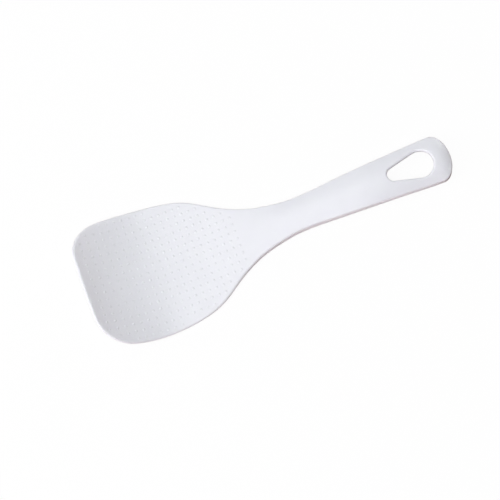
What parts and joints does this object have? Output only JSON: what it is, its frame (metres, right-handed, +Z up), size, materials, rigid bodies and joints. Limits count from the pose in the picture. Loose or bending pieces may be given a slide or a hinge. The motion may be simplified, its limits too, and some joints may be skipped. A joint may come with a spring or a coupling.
{
  "type": "rice paddle",
  "caption": "Moulded plastic rice paddle: wide blade with a curled-up tip, S-curved shoulders, and a crowned grip with a hanging hole near its end.",
  "frame": {"origin": "on the table that the paddle lies on, under the middle of its length, in its plane of symmetry", "axes": "+X from the tip of the blade to the end of the grip, +Y across the blade, +Z up out of the blade's serving side"},
  "size_m": [0.183, 0.064, 0.0203],
  "materials": {
    "white_plastic": "satin"
  },
  "bodies": {
    "root": {"paddle": "white_plastic"}
  },
  "joints": []
}
